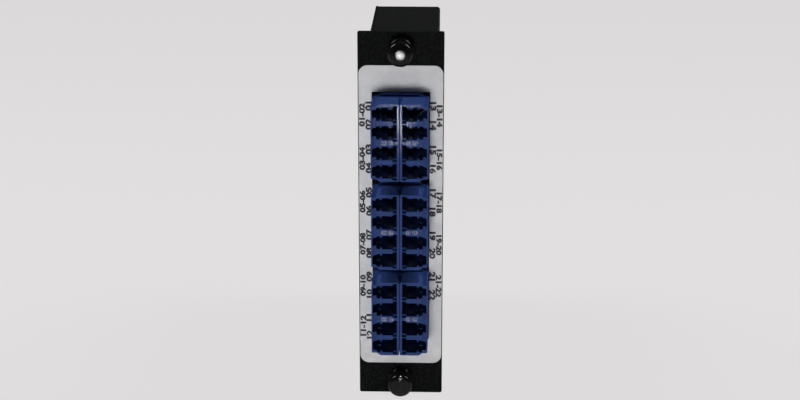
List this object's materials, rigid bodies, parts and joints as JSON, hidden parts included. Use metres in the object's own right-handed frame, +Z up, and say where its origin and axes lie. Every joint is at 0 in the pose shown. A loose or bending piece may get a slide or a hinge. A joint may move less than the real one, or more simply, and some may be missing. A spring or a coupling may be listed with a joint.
{
  "type": "fibre patch module",
  "caption": "Slim rack cassette with a black faceplate, silver legend label, blue quad optical adapters, push-pull panel fasteners and a closed sheet housing.",
  "frame": {"origin": "centre of the faceplate's rear face, midway between the two panel fasteners", "axes": "+X right as seen from the front, +Y back into the panel, +Z up along the plate"},
  "size_m": [0.0288, 0.1129, 0.1296],
  "materials": {
    "plate_black": "fine textured powder coat",
    "label_silver": "satin silver-grey film",
    "adapter_blue": "moulded, slightly glossy",
    "spring_steel": "stamped",
    "nylon_black": "smooth moulded nylon",
    "package_metal": "anodised",
    "ceramic_white": "polished ceramic",
    "plug_blue": "moulded",
    "boot_white": "soft moulded",
    "housing_black": "smooth satin powder coat",
    "post_metal": "turned"
  },
  "bodies": {
    "module": {"adapter_clip_bottom_left": "spring_steel", "adapter_clip_bottom_right": "spring_steel", "adapter_clip_middle_left": "spring_steel", "adapter_clip_middle_right": "spring_steel", "adapter_clip_top_left": "spring_steel", "adapter_clip_top_right": "spring_steel", "adapter_front_bottom_left": "adapter_blue", "adapter_front_bottom_right": "adapter_blue", "adapter_front_middle_left": "adapter_blue", "adapter_front_middle_right": "adapter_blue", "adapter_front_top_left": "adapter_blue", "adapter_front_top_right": "adapter_blue", "adapter_rear_bottom_left": "adapter_blue", "adapter_rear_bottom_right": "adapter_blue", "adapter_rear_middle_left": "adapter_blue", "adapter_rear_middle_right": "adapter_blue", "adapter_rear_top_left": "adapter_blue", "adapter_rear_top_right": "adapter_blue", "alignment_sleeves": "ceramic_white", "cover_posts": "post_metal", "faceplate": "plate_black", "filter_package_lower": "package_metal", "filter_package_upper": "package_metal", "grommet_bottom": "nylon_black", "grommet_top": "nylon_black", "housing_cover": "housing_black", "housing_tray": "housing_black", "legend_label": "label_silver", "pigtail_boots": "boot_white", "pigtail_ferrules": "ceramic_white", "pigtail_plugs": "plug_blue"},
    "plunger_top": {"plunger_top": "nylon_black"},
    "plunger_bottom": {"plunger_bottom": "nylon_black"}
  },
  "joints": [
    {"name": "top_pull", "type": "slide", "parent": "module", "child": "plunger_top", "axis": [0, -1, 0], "range_m": [0, 0.0055]},
    {"name": "bottom_pull", "type": "slide", "parent": "module", "child": "plunger_bottom", "axis": [0, -1, 0], "range_m": [0, 0.0055]}
  ]
}
